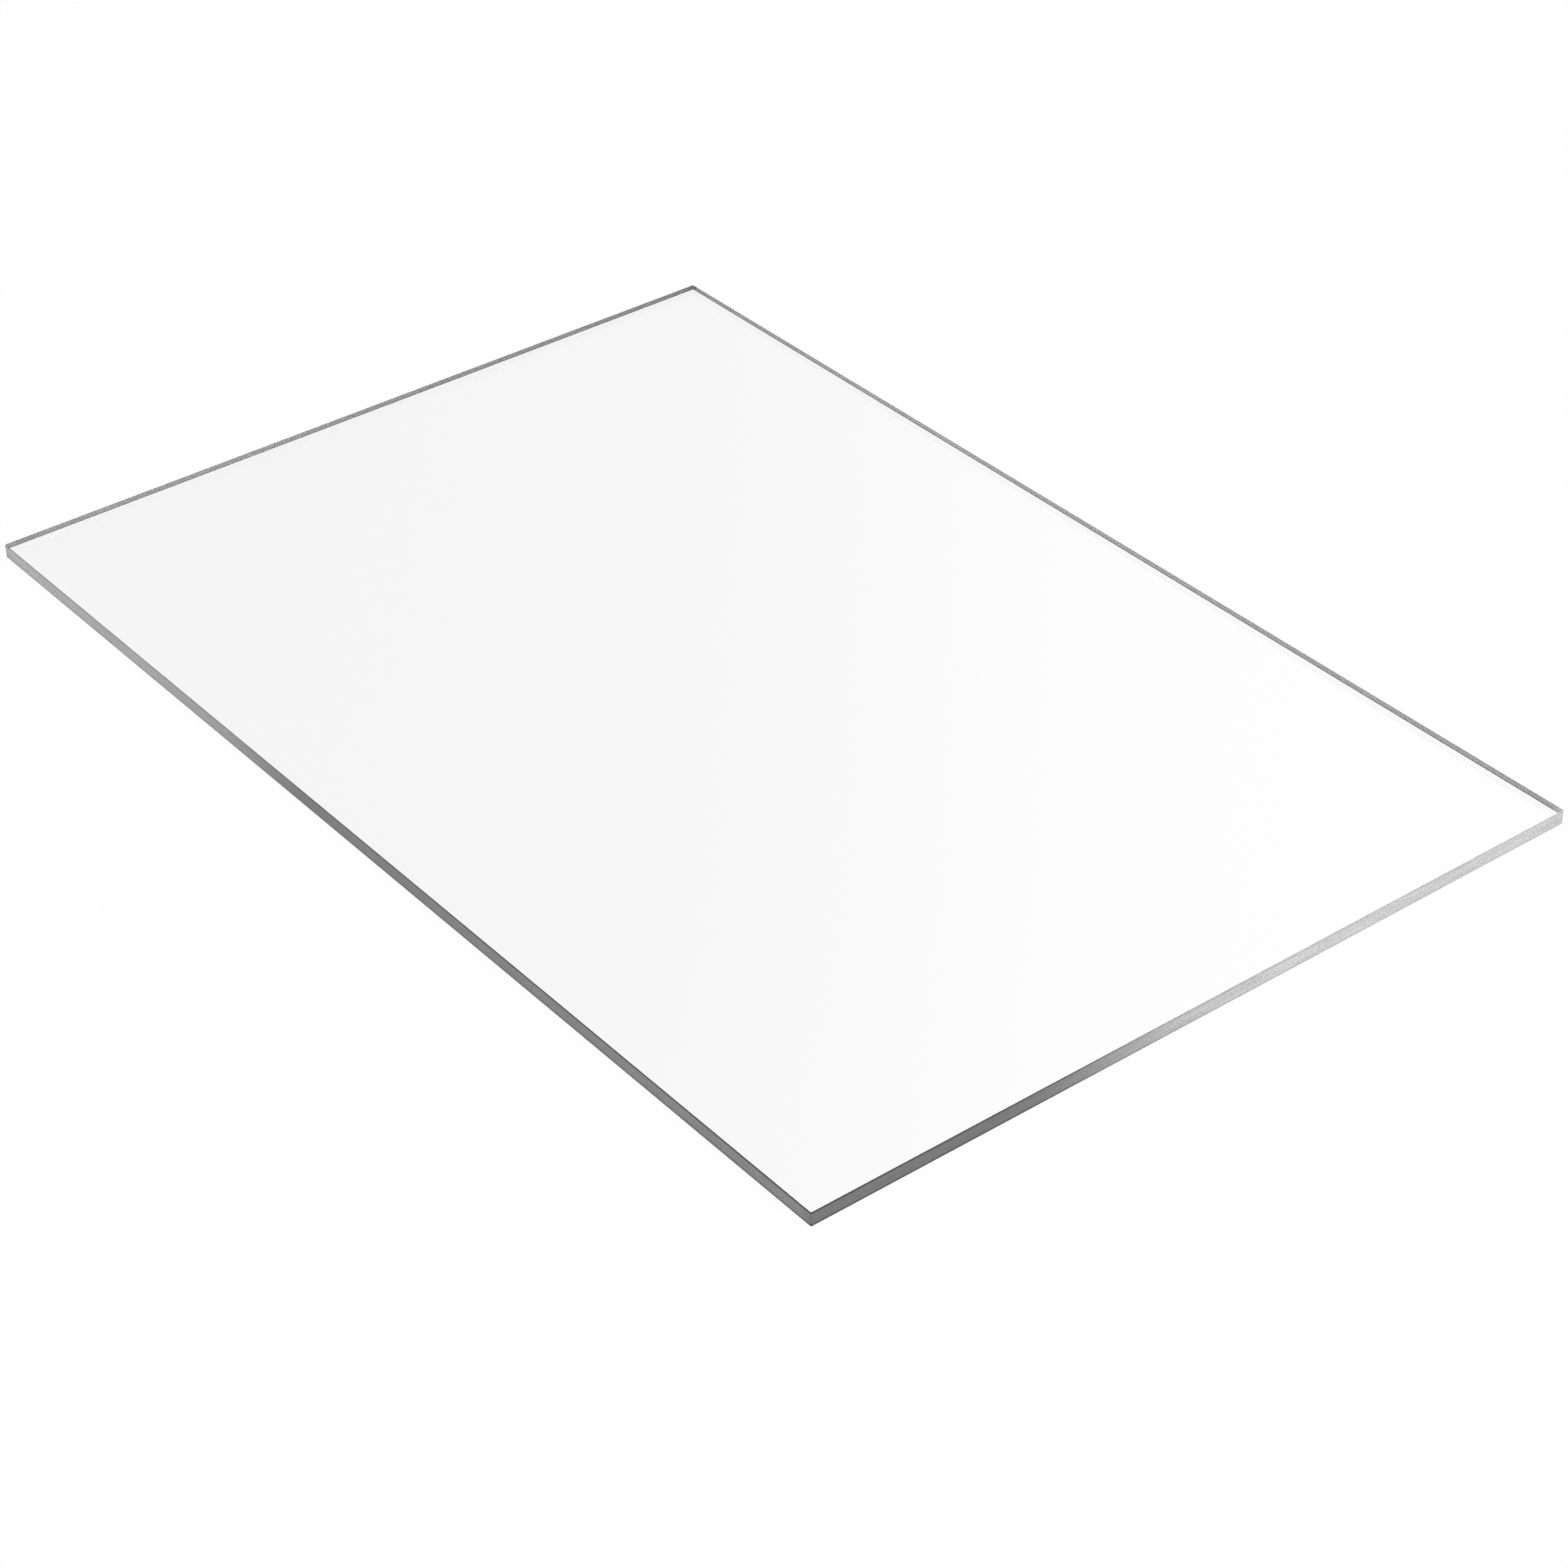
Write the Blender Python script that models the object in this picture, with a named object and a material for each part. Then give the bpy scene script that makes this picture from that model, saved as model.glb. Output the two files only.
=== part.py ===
"""Clear acrylic sheet: one rectangular panel of cast acrylic, cut to size, lying flat.

The panel is a single solid. Its outline is cut square, its four corners are dubbed to a small
radius, and both rims are scraped to a fine 45 degree arris so that they don't chip or cut hands.

Frame: origin at the middle of the underside, +X along the length, +Y along the width, +Z up.
Units are metres.
"""

from math import radians

import bmesh
import bpy
from mathutils import Vector

# Size the panel is cut to
LENGTH = 0.900
WIDTH = 0.600

# Nominal thickness of the cast sheet
THICKNESS = 0.010

# Radius of the four upright corners, seen from above
CORNER_RADIUS = 0.0010

# Flats that make up each corner's quarter turn
CORNER_FLATS = 6

# Leg of the 45 degree arris along the top and bottom rims, measured on the face
ARRIS = 0.0004

# A fold sharper than this is a rim or an arris, and a shallower one is part of a round corner
RIM_ANGLE = radians(60)
CREASE_ANGLE = radians(30)

# Clear acrylic: no colour of its own to speak of, polished faces, refractive index of PMMA
ACRYLIC_COLOUR = (0.955, 0.960, 0.960, 1.0)
ACRYLIC_ROUGHNESS = 0.04
ACRYLIC_IOR = 1.491


def clear_objects():
    """Start from an empty scene."""
    for old in list(bpy.data.objects):
        bpy.data.objects.remove(old, do_unlink=True)


def clear_acrylic():
    """See-through cast acrylic with a polished face."""
    material = bpy.data.materials.new("clear_acrylic")
    material.use_nodes = True
    shader = material.node_tree.nodes["Principled BSDF"]
    shader.inputs["Base Color"].default_value = ACRYLIC_COLOUR
    shader.inputs["Roughness"].default_value = ACRYLIC_ROUGHNESS
    shader.inputs["Metallic"].default_value = 0.0
    shader.inputs["IOR"].default_value = ACRYLIC_IOR
    shader.inputs["Transmission Weight"].default_value = 1.0
    return material


def cut_outline(bm):
    """One flat face at z = 0, cut to length and width, with its corners dubbed round."""
    bmesh.ops.create_grid(bm, x_segments=1, y_segments=1, size=0.5)
    bmesh.ops.scale(bm, vec=Vector((LENGTH, WIDTH, 1.0)), verts=bm.verts[:])
    bmesh.ops.bevel(
        bm,
        geom=bm.verts[:],
        offset=CORNER_RADIUS,
        offset_type="OFFSET",
        segments=CORNER_FLATS,
        profile=0.5,
        affect="VERTICES",
    )


def raise_to_thickness(bm):
    """Extrude the outline up to the sheet's thickness and close it into a solid."""
    top = bmesh.ops.extrude_face_region(bm, geom=bm.faces[:])
    raised = [item for item in top["geom"] if isinstance(item, bmesh.types.BMVert)]
    bmesh.ops.translate(bm, vec=Vector((0.0, 0.0, THICKNESS)), verts=raised)
    bmesh.ops.recalc_face_normals(bm, faces=bm.faces[:])


def scrape_rims(bm):
    """Take the arris off the rims where the walls meet the top and the underside."""
    rims = [edge for edge in bm.edges if edge.calc_face_angle() > RIM_ANGLE]
    bmesh.ops.bevel(
        bm,
        geom=rims,
        offset=ARRIS,
        offset_type="OFFSET",
        segments=1,
        affect="EDGES",
    )


def acrylic_sheet():
    """The panel, standing on z = 0."""
    bm = bmesh.new()
    cut_outline(bm)
    raise_to_thickness(bm)
    scrape_rims(bm)
    mesh = bpy.data.meshes.new("acrylic_sheet")
    bm.to_mesh(mesh)
    bm.free()
    mesh.shade_smooth()
    mesh.set_sharp_from_angle(angle=CREASE_ANGLE)
    mesh.materials.append(clear_acrylic())
    sheet = bpy.data.objects.new("acrylic_sheet", mesh)
    bpy.context.scene.collection.objects.link(sheet)
    return sheet


clear_objects()
acrylic_sheet()
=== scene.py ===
# %% [markdown]
# # A clear acrylic sheet
#
# The object is one flat panel of clear cast acrylic, 900 x 600 x 10 mm, lying on a pale floor. Nearly
# all that the eye gets from it comes from its four narrow edges. The broad faces are polished and show
# the floor through them, and the edges are cut by a machine and stay grey and satin. So the lesson
# spends most of its steps on the edge: its shape, its cutter marks and its tone.
#
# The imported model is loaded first. It gives the sheet's real size, and each step works from that.

# %% Load the frame
from math import cos, pi, radians, sin

import bmesh
import bpy
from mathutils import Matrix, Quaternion, Vector


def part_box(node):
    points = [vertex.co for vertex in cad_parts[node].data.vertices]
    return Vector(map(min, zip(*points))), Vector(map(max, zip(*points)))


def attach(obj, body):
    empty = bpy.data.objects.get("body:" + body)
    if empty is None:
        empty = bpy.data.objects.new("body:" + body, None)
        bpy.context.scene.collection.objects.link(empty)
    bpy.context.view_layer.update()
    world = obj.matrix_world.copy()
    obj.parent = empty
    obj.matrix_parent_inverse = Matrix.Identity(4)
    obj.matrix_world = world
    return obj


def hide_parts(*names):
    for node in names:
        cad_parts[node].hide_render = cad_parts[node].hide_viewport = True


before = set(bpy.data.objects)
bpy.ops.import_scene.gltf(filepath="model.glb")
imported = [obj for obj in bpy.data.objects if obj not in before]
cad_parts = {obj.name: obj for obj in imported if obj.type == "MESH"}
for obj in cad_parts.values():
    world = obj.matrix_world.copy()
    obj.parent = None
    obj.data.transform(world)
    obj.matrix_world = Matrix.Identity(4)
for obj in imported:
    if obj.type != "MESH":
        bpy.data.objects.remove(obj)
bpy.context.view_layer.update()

low, high = (Vector(corner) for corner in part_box("acrylic_sheet"))
LENGTH, WIDTH, THICKNESS = high - low
MM = 0.001
print(f"sheet {LENGTH / MM:.1f} x {WIDTH / MM:.1f} x {THICKNESS / MM:.1f} mm")

# %% [markdown]
# ## Three small helpers
#
# Colours are easiest to write down as the hex values that a screen shows, but Blender's nodes work in
# linear light. One function turns the first into the second. A second function adds a node together
# with its links, its settings and, on a colour ramp, its stops, which keeps a long node tree readable
# as a list of lines. A third names a new material and hands back its tree and its shader.

# %% Helpers
def linear(hex_colour):
    """An sRGB hex colour such as "C8C9C9" as the linear RGBA that a socket takes."""
    values = [int(hex_colour[i:i + 2], 16) / 255 for i in (0, 2, 4)]
    return [v / 12.92 if v <= 0.04045 else ((v + 0.055) / 1.055) ** 2.4 for v in values] + [1.0]


def node(tree, kind, inputs=None, stops=(), **settings):
    """Adds one node. Inputs are for its sockets: a value, or a link to take. Settings are its options.
    Stops are a colour ramp's: where each one lies, and the hex colour or the plain share there."""
    new = tree.nodes.new(kind)
    for name, value in settings.items():
        setattr(new, name, value)
    for name, value in (inputs or {}).items():
        if isinstance(value, bpy.types.NodeSocket):
            tree.links.new(value, new.inputs[name])
        else:
            new.inputs[name].default_value = value
    for where, value in stops[1:-1]:
        new.color_ramp.elements.new(where)
    if stops:
        for stop, (where, value) in zip(new.color_ramp.elements, stops):
            stop.position = where
            stop.color = linear(value) if isinstance(value, str) else [value] * 3 + [1.0]
    return new


def new_material(name):
    """An empty material: the material, its node tree and its one shader."""
    material = bpy.data.materials.new(name)
    material.use_nodes = True
    tree = material.node_tree
    return material, tree, tree.nodes["Principled BSDF"]


print("mid grey 808080 is", round(linear("808080")[0], 3), "in linear light")

# %% [markdown]
# ## The camera
#
# The sheet is seen from a little over 35 degrees above the floor, with its near corner pointing at the
# viewer and its long side running off to the left. The camera is placed the way a photographer would
# describe it: the point it looks at, how far away it is, and from which side. The lens is a short
# telephoto, so the far corner shrinks only a little. A roll of under one degree tips the picture.

# %% Camera
AIM = Vector((0.1201, -0.0592, 0.0100))
DISTANCE = 2.4868
AZIMUTH = radians(52.338)
ELEVATION = radians(35.133)
ROLL = radians(-0.911)
SENSOR_MM = 36.0
LENS_MM = 90.379

towards_camera = Vector((
    sin(AZIMUTH) * cos(ELEVATION),
    -cos(AZIMUTH) * cos(ELEVATION),
    sin(ELEVATION),
))
camera_data = bpy.data.cameras.new("camera")
camera_data.sensor_width = SENSOR_MM
camera_data.lens = LENS_MM
camera = bpy.data.objects.new("camera", camera_data)
camera.location = AIM + towards_camera * DISTANCE
camera.rotation_mode = "QUATERNION"
camera.rotation_quaternion = towards_camera.to_track_quat("Z", "Y") @ Quaternion((0, 0, 1), ROLL)
bpy.context.scene.collection.objects.link(camera)
bpy.context.scene.camera = camera
print("camera stands at", [round(v, 3) for v in camera.location])

# %% [markdown]
# ## The floor
#
# A clear sheet shows whatever it lies on, so the floor has to be as plain as paper: one level square,
# large enough that no view sees its end. The sheet rests on it, but two surfaces in the same place
# would flicker, so the floor lies a third of a millimetre lower.

# %% Floor
FLOOR_HALF = 30.0
FLOOR_GAP = 0.3 * MM

bm = bmesh.new()
bmesh.ops.create_grid(bm, x_segments=1, y_segments=1, size=FLOOR_HALF)
floor_mesh = bpy.data.meshes.new("floor")
bm.to_mesh(floor_mesh)
bm.free()
floor = bpy.data.objects.new("floor", floor_mesh)
floor.location.z = low.z - FLOOR_GAP
bpy.context.scene.collection.objects.link(floor)
print("floor lies", FLOOR_GAP / MM, "mm under the sheet")

# %% [markdown]
# ## The floor's paint
#
# A painted white floor never renders quite white, and turning the lamps up would bleach the sheet. So
# the floor gives most of its white to the rays that look at it, directly, in a reflection or through
# the acrylic, and keeps a small painted share, in which the sheet's faint shadow still shows. To the
# light that bounces about the room it is an ordinary pale floor.

# %% Floor paint
FLOOR_PAINT = "E6E6E6"
FLOOR_SHADOW_SHARE = 0.04
PAPER_WHITE = "FEFEFE"

# Matt white paint: it gives the eye one even white, with no shine of its own
matt_paint, tree, shader = new_material("matt_white_floor_paint")
path = node(tree, "ShaderNodeLightPath")
looked_at = node(tree, "ShaderNodeMath", {
    0: path.outputs["Is Camera Ray"],
    1: path.outputs["Is Glossy Ray"],
}, operation="MAXIMUM")
# The two colours of a Mix node are its inputs 6 and 7, and the mixed colour is its output 2
paint = node(tree, "ShaderNodeMix", {
    "Factor": looked_at.outputs[0],
    6: linear(FLOOR_PAINT),
    7: [FLOOR_SHADOW_SHARE] * 3 + [1.0],
}, data_type="RGBA")
paint = node(tree, "ShaderNodeMix", {
    "Factor": path.outputs["Is Transmission Ray"],
    6: paint.outputs[2],
    7: [0.0, 0.0, 0.0, 1.0],
}, data_type="RGBA")
glow = node(tree, "ShaderNodeMath", {
    0: looked_at.outputs[0],
    1: 1.0 - FLOOR_SHADOW_SHARE,
}, operation="MULTIPLY")
glow = node(tree, "ShaderNodeMath", {
    0: glow.outputs[0],
    1: path.outputs["Is Transmission Ray"],
}, operation="MAXIMUM")
glow = node(tree, "ShaderNodeMath", {
    0: glow.outputs[0],
    1: linear(PAPER_WHITE)[0],
}, operation="MULTIPLY")
tree.links.new(paint.outputs[2], shader.inputs["Base Color"])
tree.links.new(glow.outputs[0], shader.inputs["Emission Strength"])
shader.inputs["Emission Color"].default_value = (1.0, 1.0, 1.0, 1.0)
shader.inputs["Roughness"].default_value = 1.0
shader.inputs["Specular IOR Level"].default_value = 0.0
floor_mesh.materials.append(matt_paint)
print("shadow shows in", FLOOR_SHADOW_SHARE, "of the floor's white")

# %% [markdown]
# ## The light
#
# The studio is bright all round, as in a white tent, and does most of the lighting. What a clear sheet
# shows most is what it mirrors, and the studio isn't one even white: its far left end is dimmer. It
# turns the left part of the polished face a little greyer than the right. It fades out level with the
# floor and overhead, so the sheet stays clear when it is seen from low down or from above.
#
# The world can tell rays apart. The camera sees paper white, and only light that is mirrored or comes
# through the sheet finds the dim end. All other light is an even grey, which lights the sheet plainly.

# %% World
ROOM_LIGHT = 0.74

# What a mirror shows of the studio, by compass angle in degrees: 0 points along +X and 90 along +Y
ROOM_MIRRORED = (
    (-180, "A0A0A0"),
    (-140, "FEFEFE"),
    (132, "FEFEFE"),
    (137, "F4F4F4"),
    (141, "D1D1D1"),
    (145, "B4B4B4"),
    (150, "A3A3A3"),
    (180, "A0A0A0"),
)

# How much of its dim end shows, by height: 0 is level with the floor and 1 is overhead
ROOM_HEIGHT = ((0.10, 0.0), (0.36, 0.6), (0.48, 0.75), (0.60, 1.0), (0.76, 1.0), (0.94, 0.0))

world = bpy.data.worlds.new("studio")
bpy.context.scene.world = world
world.use_nodes = True
tree = world.node_tree
background = tree.nodes["Background"]
path = node(tree, "ShaderNodeLightPath")
direction = node(tree, "ShaderNodeTexCoord").outputs["Generated"]
compass = node(tree, "ShaderNodeTexGradient", {"Vector": direction}, gradient_type="RADIAL")
round_room = [(degrees / 360 + 0.5, colour) for degrees, colour in ROOM_MIRRORED]
mirrored = node(tree, "ShaderNodeValToRGB", {"Fac": compass.outputs["Fac"]}, round_room)
height = node(tree, "ShaderNodeSeparateXYZ", {"Vector": direction})
shown = node(tree, "ShaderNodeValToRGB", {"Fac": height.outputs["Z"]}, ROOM_HEIGHT)
mirrored = node(tree, "ShaderNodeMix", {
    "Factor": shown.outputs["Color"],
    6: linear(PAPER_WHITE),
    7: mirrored.outputs["Color"],
}, data_type="RGBA")
through = node(tree, "ShaderNodeMath", {
    0: path.outputs["Is Glossy Ray"],
    1: path.outputs["Is Transmission Ray"],
}, operation="MAXIMUM")
room = node(tree, "ShaderNodeMix", {
    "Factor": through.outputs[0],
    6: [ROOM_LIGHT] * 3 + [1.0],
    7: mirrored.outputs[2],
}, data_type="RGBA")
room = node(tree, "ShaderNodeMix", {
    "Factor": path.outputs["Is Camera Ray"],
    6: room.outputs[2],
    7: linear(PAPER_WHITE),
}, data_type="RGBA")
tree.links.new(room.outputs[2], background.inputs["Color"])
print("room", ROOM_LIGHT, "with", len(ROOM_MIRRORED), "tones round it")

# %% [markdown]
# ## The lamp
#
# One lamp stands high on the right for a little direction. A large lamp makes a soft light, so it is a
# disk 3.6 m across. The room and the lamp together light a level surface so that a colour renders about
# as it is written, and the Standard view transform keeps it so.

# %% Lamp
LAMP_SIZE = 3.6
LAMP_DISTANCE = 6.0
LAMP_POWER = 153.0
LAMP_AZIMUTH = radians(100)
LAMP_ELEVATION = radians(52)

lamp_data = bpy.data.lights.new("soft_lamp", "AREA")
lamp_data.shape = "DISK"
lamp_data.size = LAMP_SIZE
lamp_data.energy = LAMP_POWER
lamp = bpy.data.objects.new("soft_lamp", lamp_data)
towards_lamp = Vector((
    sin(LAMP_AZIMUTH) * cos(LAMP_ELEVATION),
    -cos(LAMP_AZIMUTH) * cos(LAMP_ELEVATION),
    sin(LAMP_ELEVATION),
))
lamp.location = towards_lamp * LAMP_DISTANCE
lamp.rotation_mode = "QUATERNION"
lamp.rotation_quaternion = towards_lamp.to_track_quat("Z", "Y")
bpy.context.scene.collection.objects.link(lamp)
bpy.context.scene.view_settings.view_transform = "Standard"
print("lamp of", LAMP_POWER, "W stands at", [round(v, 2) for v in lamp.location])

# %% [markdown]
# ## The polished faces
#
# Cast acrylic is poured between two sheets of glass, so both broad faces are as smooth as glass and
# need no polishing. The material is clear all through, with an index of refraction of 1.49: light bends
# as it goes in, and the far edges are seen through the top face as narrow bands. Transmission at 1 with
# that index gives all of this, and nothing is painted. Wiping and stacking leave a trace of haze, which
# is a very small change of roughness in soft patches about 90 mm across.

# %% Cast face
ACRYLIC_IOR = 1.491
HAZE_PATCH = 90 * MM
HAZE_NOISE = (0.40, 0.75)
HAZIEST = 0.035

# Cast acrylic off a glass mould: it gives the eye a clean mirror, and the floor through it unchanged
cast_face, tree, shader = new_material("cast_acrylic_face")
place = node(tree, "ShaderNodeTexCoord")
haze = node(tree, "ShaderNodeTexNoise", {
    "Vector": place.outputs["Object"],
    "Scale": 1 / HAZE_PATCH,
    "Detail": 3.0,
    "Roughness": 0.6,
})
haze = node(tree, "ShaderNodeMapRange", {
    "Value": haze.outputs[0],
    "From Min": HAZE_NOISE[0],
    "From Max": HAZE_NOISE[1],
    "To Min": 0.0,
    "To Max": HAZIEST,
})
tree.links.new(haze.outputs[0], shader.inputs["Roughness"])
shader.inputs["Base Color"].default_value = linear("FFFFFF")
shader.inputs["IOR"].default_value = ACRYLIC_IOR
shader.inputs["Transmission Weight"].default_value = 1.0
print("face haze repeats about every", HAZE_PATCH / MM, "mm")

# %% [markdown]
# ## The milled edge: its grey, with painted light and shade
#
# A router cuts the sheet to size, and its cutter leaves the four walls satin. A satin wall on clear
# plastic is never one even grey. The sheet carries light to its edges from all round, and a wall is
# bright where that light comes out of it and dark where it doesn't. Here that light and shade is
# painted into the walls' grey: the walls are darkest, in painted shade, on both sides of the near
# corner, and brighten as painted light in a soft step less than half-way along.
#
# The painted tone follows the edge round the sheet, so it is written as one list of stops against the
# distance round the rim. The rim is counted from the right corner, over the far wall, round to the left
# corner and back along the two near walls. The distance itself is an attribute of the mesh, which the
# node tree that makes the sheet stores there. Three more lists work in the same way: the greys of the
# arris, which carry the same painted light and shade, how much darker a wall gets next to its rims,
# and how much light still passes through it.

# %% Edge tone
RIM_LENGTH = 2 * (LENGTH + WIDTH)
LEFT_BACK = LENGTH / RIM_LENGTH
LEFT = (LENGTH + WIDTH) / RIM_LENGTH
NEAR = LEFT + LENGTH / RIM_LENGTH

# Where each wall begins and ends, as a share of the whole rim
FAR_RIGHT = (0.0, LEFT_BACK)
FAR_LEFT = (LEFT_BACK, LEFT)
NEAR_LEFT = (LEFT, NEAR)
NEAR_RIGHT = (NEAR, 1.0)
print("greys round a rim of", round(RIM_LENGTH, 3), "m")

# %% Edge lists
# Each list gives shares of the way along the wall, and what is there: first the greys, with the
# walls' painted light and shade in them
WALL_GREY_AND_PAINTED_LIGHT = {
    # The right corner's first stops are a painted highlight, and the rest is painted light and shade
    FAR_RIGHT: (
        (0.000, "E0E0E0"), (0.002, "E0E0E0"), (0.004, "A4A4A4"), (0.450, "ACACAC"), (0.700, "B0B0B0"),
        (0.998, "9A9A9A"),
    ),
    FAR_LEFT: (
        (0.001, "606060"), (0.150, "7C7C7C"), (0.450, "8E8E8E"), (0.650, "A4A4A4"), (0.950, "A6A6A6"),
        (0.998, "8C8C8C"),
    ),
    NEAR_LEFT: (
        (0.001, "C9C9C9"), (0.180, "C6C6C6"), (0.320, "B4B4B4"), (0.370, "9C9C9C"), (0.420, "7E7E7E"),
        (0.600, "898989"), (0.999, "939393"),
    ),
    NEAR_RIGHT: (
        (0.004, "7A7A7A"), (0.220, "777777"), (0.280, "808080"), (0.340, "9B9B9B"), (0.430, "C7C7C7"),
        (0.500, "DCDCDC"), (0.620, "E5E5E5"), (0.930, "E5E5E5"), (1.000, "DCDCDC"),
    ),
}
# The arris greys: painted shade towards the near and far corners, a painted highlight at the right one
ARRIS_GREY_AND_PAINTED_LIGHT = {
    FAR_RIGHT: ((0.000, "B0B0B0"), (0.004, "606060"), (0.998, "505050")),
    FAR_LEFT: ((0.002, "202020"), (0.998, "808080")),
    NEAR_LEFT: (
        (0.002, "909090"), (0.300, "8C8C8C"), (0.420, "606060"), (0.550, "484848"), (0.998, "141414"),
    ),
    NEAR_RIGHT: ((0.004, "181818"), (0.300, "404040"), (0.500, "A8A8A8"), (1.000, "B8B8B8")),
}
# Share of the wall's tone that is left along its two rims
RIM_SHADE = {
    FAR_RIGHT: ((0.000, 0.90), (0.004, 0.45), (0.998, 0.48)),
    FAR_LEFT: ((0.002, 0.82), (0.998, 0.78)),
    NEAR_LEFT: ((0.002, 0.80), (0.400, 0.87), (0.500, 0.60), (0.998, 0.38)),
    NEAR_RIGHT: ((0.004, 0.43), (0.250, 0.55), (0.450, 0.80), (1.000, 0.92)),
}
# Share of the light that goes through the wall and not into its grey
WALL_CLARITY = {
    FAR_RIGHT: ((0.000, 0.30), (0.004, 0.15), (0.998, 0.15)),
    FAR_LEFT: ((0.002, 0.15), (0.998, 0.15)),
    NEAR_LEFT: ((0.002, 0.30), (0.998, 0.30)),
    NEAR_RIGHT: ((0.002, 0.30), (1.000, 0.30)),
}
print("wall greys at", sum(map(len, WALL_GREY_AND_PAINTED_LIGHT.values())), "places")

# %% [markdown]
# ## From a list to a tone
#
# A colour ramp turns the distance into a tone, with a soft change from each stop to the next. The
# lists give their places wall by wall, so each place is moved to where its wall lies on the whole
# rim. A plain share goes into the ramp as a grey of that value.

# %% Tone round the rim
def round_rim(tree, walls):
    """A grey, or a plain share, by distance round the rim."""
    stops = [
        (start + share * (end - start), value)
        for (start, end), wall in walls.items()
        for share, value in wall
    ]
    rim = node(tree, "ShaderNodeAttribute", attribute_name="rim")
    return node(tree, "ShaderNodeValToRGB", {"Fac": rim.outputs["Fac"]}, stops).outputs["Color"]


print("the rim starts and ends at the right corner")

# %% [markdown]
# ## The milled edge: its marks
#
# Close up, a routed edge has three sorts of marks. The cutter's teeth leave upright ripples at an even
# pitch, the feed past the guide leaves fine streaks that run lengthwise, and the satin itself is a fine
# grain. The ripples are real shape and come later, with the mesh. The others are too fine for that, so
# they are noise. For the streaks it is stretched along the wall: coordinates are made from the distance
# round the rim and the height. A real grain is a tenth of a millimetre. Here it is 1.5 mm, to show at
# all. One mix of both noises will change the grey, the roughness and the bump together, as a scratch
# does.

# %% Milled wall, its marks
STREAK_LENGTH = 45 * MM
STREAK_HEIGHT = 1.6 * MM
GRAIN = 1.5 * MM
GRAIN_SHARE = 0.7

# Acrylic cut by a router: it gives the eye a soft grey satin that some light still passes through
milled_edge, tree, shader = new_material("milled_acrylic_edge")
place = node(tree, "ShaderNodeTexCoord")
height = node(tree, "ShaderNodeSeparateXYZ", {"Vector": place.outputs["Object"]})
rim = node(tree, "ShaderNodeAttribute", attribute_name="rim")
along = node(tree, "ShaderNodeMath", {
    0: rim.outputs["Fac"],
    1: RIM_LENGTH / STREAK_LENGTH,
}, operation="MULTIPLY")
across = node(tree, "ShaderNodeMath", {
    0: height.outputs["Z"],
    1: 1 / STREAK_HEIGHT,
}, operation="MULTIPLY")
strip = node(tree, "ShaderNodeCombineXYZ", {"X": along.outputs[0], "Y": across.outputs[0]})
streak = node(tree, "ShaderNodeTexNoise", {
    "Vector": strip.outputs[0],
    "Scale": 1.0,
    "Detail": 2.0,
    "Roughness": 0.5,
}, noise_dimensions="2D")
grain = node(tree, "ShaderNodeTexNoise", {
    "Vector": place.outputs["Object"],
    "Scale": 1 / GRAIN,
    "Detail": 3.0,
    "Roughness": 0.6,
})
# The two numbers of a Mix node are its inputs 2 and 3, and the mixed number is its output 0
marks = node(tree, "ShaderNodeMix", {
    "Factor": GRAIN_SHARE,
    2: streak.outputs[0],
    3: grain.outputs[0],
}, data_type="FLOAT")
print("streaks", STREAK_LENGTH / MM, "x", STREAK_HEIGHT / MM, "mm, grain", GRAIN / MM, "mm")

# %% [markdown]
# ## The milled edge: its rims
#
# Next to both rims the wall gets darker over a millimetre or so, because the light that comes out
# there has had to pass the arris. The height decides where: it is measured from a line a little above
# the wall's middle, so the lower band is the wider one. The list of shares decides how much.

# %% Milled wall, its rims
RIM_BAND = 1.3 * MM
RIM_BLEND = 0.4 * MM
RIM_LIFT = 0.25 * MM

from_middle = node(tree, "ShaderNodeMath", {
    0: height.outputs["Z"],
    1: THICKNESS / 2 + RIM_LIFT,
}, operation="SUBTRACT")
from_middle = node(tree, "ShaderNodeMath", {0: from_middle.outputs[0]}, operation="ABSOLUTE")
near_rim = node(tree, "ShaderNodeMapRange", {
    "Value": from_middle.outputs[0],
    "From Min": THICKNESS / 2 - RIM_BAND - RIM_BLEND,
    "From Max": THICKNESS / 2 - RIM_BAND,
})
dimmed = node(tree, "ShaderNodeMix", {
    "Factor": near_rim.outputs[0],
    6: [1.0, 1.0, 1.0, 1.0],
    7: round_rim(tree, RIM_SHADE),
}, data_type="RGBA")
bands = [round((RIM_BAND + shift) / MM, 2) for shift in (-RIM_LIFT, RIM_LIFT)]
print("shaded bands above and below:", bands, "mm")

# %% [markdown]
# ## The milled edge: its finish
#
# Now the marks, the greys and the rims come together in the shader. The marks lighten and darken the
# grey, and roughen the satin as they do. The wall lets a part of the light through, less of it in the
# shaded bands, and its IOR is the same as the polished faces' because it is the same plastic.

# %% Milled wall, its finish
# A noise hardly leaves this range, so a pattern that is made from one is stretched over it
NOISE_LOW, NOISE_HIGH = 0.3, 0.7
MARK_SHADE = (0.68, 1.32)
SATIN = (0.33, 0.47)
MARK_BUMP = 0.05 * MM
BUMP_STRENGTH = 0.25

shade = node(tree, "ShaderNodeMapRange", {
    "Value": marks.outputs[0],
    "From Min": NOISE_LOW,
    "From Max": NOISE_HIGH,
    "To Min": MARK_SHADE[0],
    "To Max": MARK_SHADE[1],
})
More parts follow.
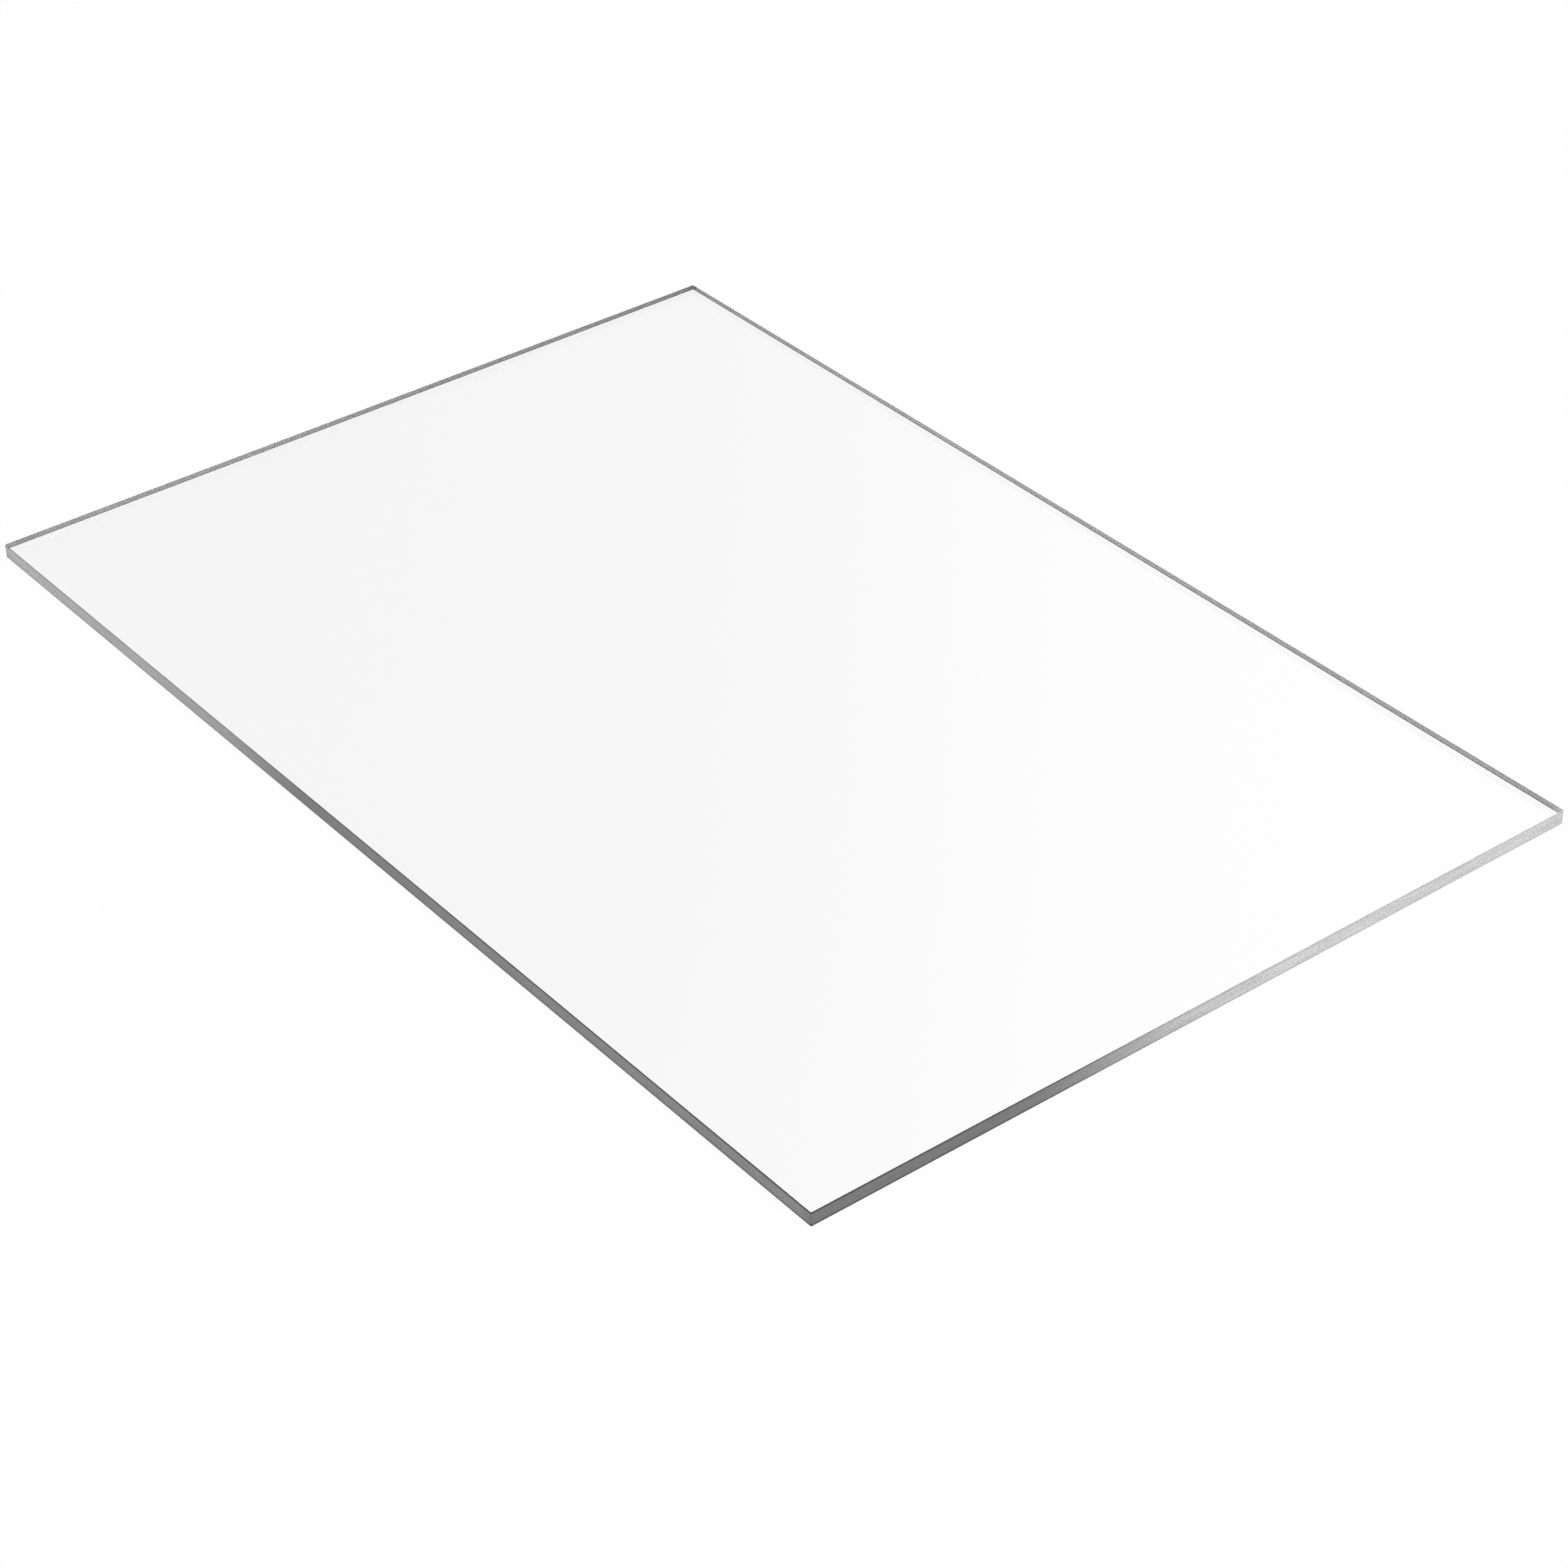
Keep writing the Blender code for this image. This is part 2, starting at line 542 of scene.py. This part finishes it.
# The wall's grey, with its painted light and shade, is lightened and darkened by the marks
colour = node(tree, "ShaderNodeVectorMath", {
    0: round_rim(tree, WALL_GREY_AND_PAINTED_LIGHT),
    "Scale": shade.outputs[0],
}, operation="SCALE")
colour = node(tree, "ShaderNodeVectorMath", {
    0: colour.outputs[0],
    1: dimmed.outputs[2],
}, operation="MULTIPLY")
clarity = node(tree, "ShaderNodeMath", {
    0: round_rim(tree, WALL_CLARITY),
    1: dimmed.outputs[2],
}, operation="MULTIPLY")
satin = node(tree, "ShaderNodeMapRange", {
    "Value": marks.outputs[0],
    "From Min": NOISE_LOW,
    "From Max": NOISE_HIGH,
    "To Min": SATIN[0],
    "To Max": SATIN[1],
})
bump = node(tree, "ShaderNodeBump", {
    "Strength": BUMP_STRENGTH,
    "Distance": MARK_BUMP,
    "Height": marks.outputs[0],
})
tree.links.new(colour.outputs[0], shader.inputs["Base Color"])
tree.links.new(satin.outputs[0], shader.inputs["Roughness"])
tree.links.new(bump.outputs[0], shader.inputs["Normal"])
tree.links.new(clarity.outputs[0], shader.inputs["Transmission Weight"])
shader.inputs["IOR"].default_value = ACRYLIC_IOR
print("satin of roughness", SATIN)

# %% [markdown]
# ## The scraped arris
#
# A fresh cut edge is sharp enough to cut a hand, so a scraper is drawn along both rims. It leaves a
# flat of 0.4 mm at 45 degrees along the top, and a steeper one along the foot. A scraper tears the
# plastic where a cutter slices it, so the flat is rough and dull and lets no light through. It reads
# as a fine dark line above and below the wall. A plain rough plastic with little shine is enough for
# that. Its greys are in the lists above, with painted shade towards the near and far corners and a
# painted highlight at the right corner, and a noise makes the tears uneven, drawn 3 mm long to show.

# %% Scraped arris
TEAR = 3.0 * MM
TEAR_SHADE = (0.8, 1.2)
TORN_ROUGHNESS = 0.6
TORN_SHINE = 0.25

# Acrylic torn by a scraper: it gives the eye a thin, dull, dark line
scraped_arris, tree, shader = new_material("scraped_acrylic_arris")
place = node(tree, "ShaderNodeTexCoord")
tear = node(tree, "ShaderNodeTexNoise", {
    "Vector": place.outputs["Object"],
    "Scale": 1 / TEAR,
    "Detail": 2.0,
})
shade = node(tree, "ShaderNodeMapRange", {
    "Value": tear.outputs[0],
    "From Min": NOISE_LOW,
    "From Max": NOISE_HIGH,
    "To Min": TEAR_SHADE[0],
    "To Max": TEAR_SHADE[1],
})
# The arris's grey, with its painted light and shade, is made uneven by the tears
colour = node(tree, "ShaderNodeVectorMath", {
    0: round_rim(tree, ARRIS_GREY_AND_PAINTED_LIGHT),
    "Scale": shade.outputs[0],
}, operation="SCALE")
tree.links.new(colour.outputs[0], shader.inputs["Base Color"])
shader.inputs["Roughness"].default_value = TORN_ROUGHNESS
shader.inputs["IOR"].default_value = ACRYLIC_IOR
shader.inputs["Specular IOR Level"].default_value = TORN_SHINE
print("tears about", TEAR / MM, "mm long")

# %% [markdown]
# ## The sheet: a path and a profile
#
# The sheet is a box, and a box with bevelled rims would do for its outline. But its edge carries a
# regular row of cutter marks and needs the distance round the rim stored on it, and both follow a
# rule. So the sheet is made the way that it is machined, as a profile that runs round a path, and
# Geometry Nodes do the running. The tree's inputs are the sizes that a maker would give.

# %% Start the tree
CORNER_RADIUS = 1.0 * MM
ARRIS = 0.4 * MM
FOOT_HEIGHT = 0.45 * MM
FOOT_DEPTH = 0.15 * MM
MARK_PITCH = 3.0 * MM
MARK_DEPTH = 0.02 * MM
FLATS_PER_MARK = 4
CORNER_FLATS = 8
WELD = 0.01 * MM
SEED = 7.0

tree = bpy.data.node_groups.new("milled_sheet", "GeometryNodeTree")
INPUTS = {
    "Length": ("NodeSocketFloat", LENGTH),
    "Width": ("NodeSocketFloat", WIDTH),
    "Thickness": ("NodeSocketFloat", THICKNESS),
    "Corner Radius": ("NodeSocketFloat", CORNER_RADIUS),
    "Arris": ("NodeSocketFloat", ARRIS),
    "Foot Height": ("NodeSocketFloat", FOOT_HEIGHT),
    "Foot Depth": ("NodeSocketFloat", FOOT_DEPTH),
    "Mark Pitch": ("NodeSocketFloat", MARK_PITCH),
    "Mark Depth": ("NodeSocketFloat", MARK_DEPTH),
    "Seed": ("NodeSocketFloat", SEED),
    "Face": ("NodeSocketMaterial", cast_face),
    "Wall": ("NodeSocketMaterial", milled_edge),
    "Scraped": ("NodeSocketMaterial", scraped_arris),
}
identifiers = {}
for name, (kind, value) in INPUTS.items():
    identifiers[name] = tree.interface.new_socket(name, in_out="INPUT", socket_type=kind).identifier
tree.interface.new_socket("Geometry", in_out="OUTPUT", socket_type="NodeSocketGeometry")
given = node(tree, "NodeGroupInput").outputs
print(len(INPUTS), "named inputs")

# %% [markdown]
# ## The path
#
# The path is the sheet's outline seen from above: a rectangle with its corners rounded by 1 mm. Each
# straight side is cut into short flats, four to a cutter mark, by how many marks fit between its ends.
# The corners keep the flats that the rounding gave them. The path's normals stand level and point
# outwards all round, and the profile will follow them.

# %% The path
outline = node(tree, "GeometryNodeCurvePrimitiveQuadrilateral", {
    "Width": given["Length"],
    "Height": given["Width"],
}, mode="RECTANGLE")
rounded = node(tree, "GeometryNodeFilletCurve", {
    "Curve": outline.outputs[0],
    "Count": CORNER_FLATS - 1,
    "Radius": given["Corner Radius"],
}, mode="POLY")

here = node(tree, "GeometryNodeInputPosition")
next_point = node(tree, "GeometryNodeOffsetPointInCurve", {
    "Point Index": node(tree, "GeometryNodeInputIndex").outputs[0],
    "Offset": 1,
})
there = node(tree, "GeometryNodeFieldAtIndex", {
    "Index": next_point.outputs["Point Index"],
    "Value": here.outputs[0],
}, data_type="FLOAT_VECTOR", domain="POINT")
side = node(tree, "ShaderNodeVectorMath", {
    0: here.outputs[0],
    1: there.outputs[0],
}, operation="DISTANCE")
pitches = node(tree, "ShaderNodeMath", {
    0: side.outputs["Value"],
    1: given["Mark Pitch"],
}, operation="DIVIDE")
pitches = node(tree, "ShaderNodeMath", {0: pitches.outputs[0]}, operation="ROUND")
cuts = node(tree, "ShaderNodeMath", {
    0: pitches.outputs[0],
    1: FLATS_PER_MARK,
    2: -1.0,
}, operation="MULTIPLY_ADD")
cuts = node(tree, "ShaderNodeMath", {0: cuts.outputs[0], 1: 0.0}, operation="MAXIMUM")
cut_up = node(tree, "GeometryNodeSubdivideCurve", {
    "Curve": rounded.outputs[0],
    "Cuts": cuts.outputs[0],
})
upright = node(tree, "GeometryNodeSetCurveNormal", {"Curve": cut_up.outputs[0]}, mode="Z_UP")
print(FLATS_PER_MARK, "flats to a mark and", CORNER_FLATS, "to a corner")

# %% [markdown]
# ## The cutter marks
#
# Each tooth of the cutter scoops a shallow hollow out of the edge and leaves a ridge on both sides. On
# the path that is one half wave of a sine to a mark, and every point moves inwards by its share of it,
# so the ridges stay on the sheet's true outline. A slow noise makes some hollows deeper than others.
# On a real edge a mark is a fraction of a millimetre wide. Here it is 3 mm, the finest that shows.
# The distance round the rim is written down for each point at the same time.

# %% The cutter marks
UNEVEN_OVER = 25 * MM
UNEVEN_NOISE = (0.35, 0.65)
SHALLOWEST = 0.3

count = node(tree, "GeometryNodeSplineParameter")
turn = node(tree, "ShaderNodeMath", {
    0: count.outputs["Index"],
    1: pi / FLATS_PER_MARK,
}, operation="MULTIPLY")
wave = node(tree, "ShaderNodeMath", {0: turn.outputs[0]}, operation="SINE")
hollow = node(tree, "ShaderNodeMath", {0: wave.outputs[0]}, operation="ABSOLUTE")
uneven = node(tree, "ShaderNodeTexNoise", {
    "Vector": here.outputs[0],
    "W": given["Seed"],
    "Scale": 1 / UNEVEN_OVER,
    "Detail": 2.0,
}, noise_dimensions="4D")
uneven = node(tree, "ShaderNodeMapRange", {
    "Value": uneven.outputs[0],
    "From Min": UNEVEN_NOISE[0],
    "From Max": UNEVEN_NOISE[1],
    "To Min": SHALLOWEST,
    "To Max": 1.0,
})
depth = node(tree, "ShaderNodeMath", {
    0: hollow.outputs[0],
    1: uneven.outputs[0],
}, operation="MULTIPLY")
depth = node(tree, "ShaderNodeMath", {
    0: depth.outputs[0],
    1: given["Mark Depth"],
}, operation="MULTIPLY")
outwards = node(tree, "GeometryNodeInputNormal")
inset = node(tree, "ShaderNodeMath", {0: depth.outputs[0], 1: -1.0}, operation="MULTIPLY")
inset = node(tree, "ShaderNodeVectorMath", {
    0: outwards.outputs[0],
    "Scale": inset.outputs[0],
}, operation="SCALE")
marked = node(tree, "GeometryNodeSetPosition", {
    "Geometry": upright.outputs[0],
    "Offset": inset.outputs[0],
})
measured = node(tree, "GeometryNodeCaptureAttribute", {
    "Geometry": marked.outputs[0],
}, domain="POINT")
measured.capture_items.new("FLOAT", "rim")
tree.links.new(count.outputs["Factor"], measured.inputs["rim"])
print("marks", MARK_PITCH / MM, "mm apart and up to", MARK_DEPTH / MM, "mm deep")

# %% [markdown]
# ## The profile
#
# Seen from its end, the edge is three straight strokes: the arris, the wall and the foot. The profile's
# X axis points outwards and its Y axis down. It starts at the top, so that the faces look outwards.

# %% The profile
def point(outwards_by, down_by):
    """A corner of the profile."""
    return node(tree, "ShaderNodeCombineXYZ", {"X": outwards_by, "Y": down_by}).outputs[0]


def negative(value):
    """The same length the other way."""
    return node(tree, "ShaderNodeMath", {0: value, 1: -1.0}, operation="MULTIPLY").outputs[0]


top_in = negative(given["Arris"])
foot_in = negative(given["Foot Depth"])
shoulder = node(tree, "ShaderNodeMath", {
    0: given["Arris"],
    1: given["Thickness"],
}, operation="SUBTRACT")
strokes = node(tree, "GeometryNodeCurvePrimitiveQuadrilateral", {
    "Point 1": point(top_in, negative(given["Thickness"])),
    "Point 2": point(0.0, shoulder.outputs[0]),
    "Point 3": point(0.0, negative(given["Foot Height"])),
    "Point 4": point(foot_in, 0.0),
}, mode="POINTS")
profile = node(tree, "GeometryNodeSetSplineCyclic", {
    "Geometry": strokes.outputs[0],
    "Cyclic": False,
})
print("profile of three strokes,", THICKNESS / MM, "mm high")

# %% [markdown]
# ## The sweep
#
# Curve to Mesh draws the profile round the whole path at once, with no seams at the corners. The
# distance round the rim is then stored on the mesh under the name rim, for the materials to read. It
# is stored on the corners of the faces, because the first and the last face share points but not
# distances.

# %% The sweep
swept = node(tree, "GeometryNodeCurveToMesh", {
    "Curve": measured.outputs["Geometry"],
    "Profile Curve": profile.outputs[0],
})

# On the face that closes the ring the distance falls from 1 back to 0, so its 0 is raised to 1. No
# other face is so long that its middle lies this much of a lap ahead of one of its corners.
LAP_JUMP = 0.25
middle = node(tree, "GeometryNodeFieldOnDomain", {"Value": measured.outputs["rim"]}, domain="FACE")
ahead = node(tree, "ShaderNodeMath", {
    0: middle.outputs[0],
    1: measured.outputs["rim"],
}, operation="SUBTRACT")
closing = node(tree, "ShaderNodeMath", {0: ahead.outputs[0], 1: LAP_JUMP}, operation="GREATER_THAN")
distance = node(tree, "ShaderNodeMath", {
    0: measured.outputs["rim"],
    1: closing.outputs[0],
}, operation="ADD")
edge = node(tree, "GeometryNodeStoreNamedAttribute", {
    "Geometry": swept.outputs[0],
    "Name": "rim",
    "Value": distance.outputs[0],
}, data_type="FLOAT", domain="CORNER")
print("profile swept round the rim")

# %% [markdown]
# ## The two faces
#
# The top and the underside are flat and polished, and one big face would do for each. But its rim has
# thousands of points, and a face filled across them breaks into slivers as long as the sheet, which
# are slow to render and can flicker. So each face is filled ring by ring. Every loop inside the last
# has points three times as far apart, and the fill between two loops has no long thin faces.

# %% The two faces
RING_GROWTH = 3
RINGS = 4


def filled(drawn_in):
    """A flat face inside the rim, drawn in a little from the wall."""
    shrunk = node(tree, "ShaderNodeVectorMath", {
        0: outwards.outputs[0],
        "Scale": drawn_in,
    }, operation="SCALE")
    loop = node(tree, "GeometryNodeSetPosition", {
        "Geometry": marked.outputs[0],
        "Offset": shrunk.outputs[0],
    })
    spacing = MARK_PITCH / FLATS_PER_MARK
    inset = 0.0
    whole_face = node(tree, "GeometryNodeJoinGeometry")
    for ring in range(RINGS + 1):
        zone = node(tree, "GeometryNodeJoinGeometry")
        tree.links.new(loop.outputs[0], zone.inputs[0])
        if ring < RINGS:
            spacing *= RING_GROWTH
            inset += spacing
            length, width = (
                node(tree, "ShaderNodeMath", {0: given[size], 1: 2 * inset}, operation="SUBTRACT")
                for size in ("Length", "Width")
            )
            smaller = node(tree, "GeometryNodeCurvePrimitiveQuadrilateral", {
                "Width": length.outputs[0],
                "Height": width.outputs[0],
            })
            loop = node(tree, "GeometryNodeResampleCurve", {
                "Curve": smaller.outputs[0],
                "Length": spacing,
            }, mode="LENGTH")
            tree.links.new(loop.outputs[0], zone.inputs[0])
        filling = node(tree, "GeometryNodeFillCurve", {"Curve": zone.outputs[0]}, mode="TRIANGLES")
        tree.links.new(filling.outputs[0], whole_face.inputs[0])
    return whole_face.outputs[0]


print("each face filled in", RINGS + 1, "rings")

# %% [markdown]
# ## The whole skin
#
# The top face is lifted to its height, and the underside is flipped so that it looks down. Their rims
# are drawn in by the arris and by the foot, so they meet the swept edge point for point. Merge by
# Distance then welds the three parts into one closed skin, as the material needs: light can only bend
# rightly in and out of a shape that is closed.

# %% The whole skin
lift = node(tree, "ShaderNodeCombineXYZ", {"Z": given["Thickness"]})
top = node(tree, "GeometryNodeTransform", {
    "Geometry": filled(top_in),
    "Translation": lift.outputs[0],
})
underside = node(tree, "GeometryNodeFlipFaces", {"Mesh": filled(foot_in)})
whole = node(tree, "GeometryNodeJoinGeometry")
for part in (underside, top, edge):
    tree.links.new(part.outputs[0], whole.inputs[0])
welded = node(tree, "GeometryNodeMergeByDistance", {
    "Geometry": whole.outputs[0],
    "Distance": WELD,
})
print("parts welded within", WELD / MM, "mm")

# %% [markdown]
# ## Shading and materials
#
# The rounded corners and the ripples should look smooth, and the folds between face, arris and wall
# crisp. So the whole mesh is shaded smooth, and an edge that folds by more than 15 degrees is marked
# sharp. Which material a face gets can be told from how it lies: level faces are cast, upright ones are
# milled, and what leans between them is scraped.

# %% Shading and materials
CREASE = radians(15)
LEVEL = 0.95
UPRIGHT = 0.15

fold = node(tree, "GeometryNodeInputMeshEdgeAngle")
crisp = node(tree, "ShaderNodeMath", {0: fold.outputs[0], 1: CREASE}, operation="GREATER_THAN")
smooth = node(tree, "GeometryNodeSetShadeSmooth", {"Geometry": welded.outputs[0]}, domain="FACE")
creased = node(tree, "GeometryNodeSetShadeSmooth", {
    "Geometry": smooth.outputs[0],
    "Selection": crisp.outputs[0],
    "Shade Smooth": False,
}, domain="EDGE")

faces_up = node(tree, "ShaderNodeSeparateXYZ", {"Vector": outwards.outputs[0]})
lean = node(tree, "ShaderNodeMath", {0: faces_up.outputs["Z"]}, operation="ABSOLUTE")
is_edge = node(tree, "ShaderNodeMath", {0: lean.outputs[0], 1: LEVEL}, operation="LESS_THAN")
is_wall = node(tree, "ShaderNodeMath", {0: lean.outputs[0], 1: UPRIGHT}, operation="LESS_THAN")
real = node(tree, "GeometryNodeRealizeInstances", {"Geometry": creased.outputs[0]})
finished = node(tree, "GeometryNodeSetMaterial", {
    "Geometry": real.outputs[0],
    "Material": given["Face"],
})
for region, material in ((is_edge, "Scraped"), (is_wall, "Wall")):
    finished = node(tree, "GeometryNodeSetMaterial", {
        "Geometry": finished.outputs[0],
        "Selection": region.outputs[0],
        "Material": given[material],
    })
node(tree, "NodeGroupOutput", {"Geometry": finished.outputs[0]})
print(len(tree.nodes), "nodes in the tree")

# %% [markdown]
# ## From the tree to a plain mesh
#
# The tree runs as a modifier. Its inputs are set by their identifiers before it runs for the first
# time. The result is then copied into a plain mesh and the modifier goes, so that the finished sheet is
# a shape like any other. The three things that a maker would check on a solid are printed: that it is
# closed, how big it is, and how many triangles it takes.

# %% Make the sheet
seed_mesh = bpy.data.meshes.new("sheet_seed")
sheet = bpy.data.objects.new("milled_acrylic_sheet", seed_mesh)
bpy.context.scene.collection.objects.link(sheet)
modifier = sheet.modifiers.new("milled_sheet", "NODES")
modifier.node_group = tree
for name, (kind, value) in INPUTS.items():
    modifier[identifiers[name]] = value
evaluated = sheet.evaluated_get(bpy.context.evaluated_depsgraph_get())
sheet_mesh = bpy.data.meshes.new_from_object(evaluated)
sheet.modifiers.remove(modifier)
sheet_mesh.name = "milled_acrylic_sheet"
if sheet_mesh.materials[0] is None:
    sheet_mesh.materials.pop(index=0)
sheet.data = sheet_mesh
bpy.data.meshes.remove(seed_mesh)

bm = bmesh.new()
bm.from_mesh(sheet_mesh)
open_edges = sum(not e.is_manifold for e in bm.edges)
volume = bm.calc_volume(signed=True)
bm.free()
sheet_mesh.calc_loop_triangles()
slots_used = [polygon.material_index for polygon in sheet_mesh.polygons]
for slot, material in enumerate(sheet_mesh.materials):
    print(material.name, "on", slots_used.count(slot), "faces")
print(len(sheet_mesh.loop_triangles), "triangles and", open_edges, "open edges")
print("volume", round(volume * 1000, 4), "litres")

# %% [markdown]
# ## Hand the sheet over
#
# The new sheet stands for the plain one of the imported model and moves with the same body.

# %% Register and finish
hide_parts("acrylic_sheet")
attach(sheet, "root")
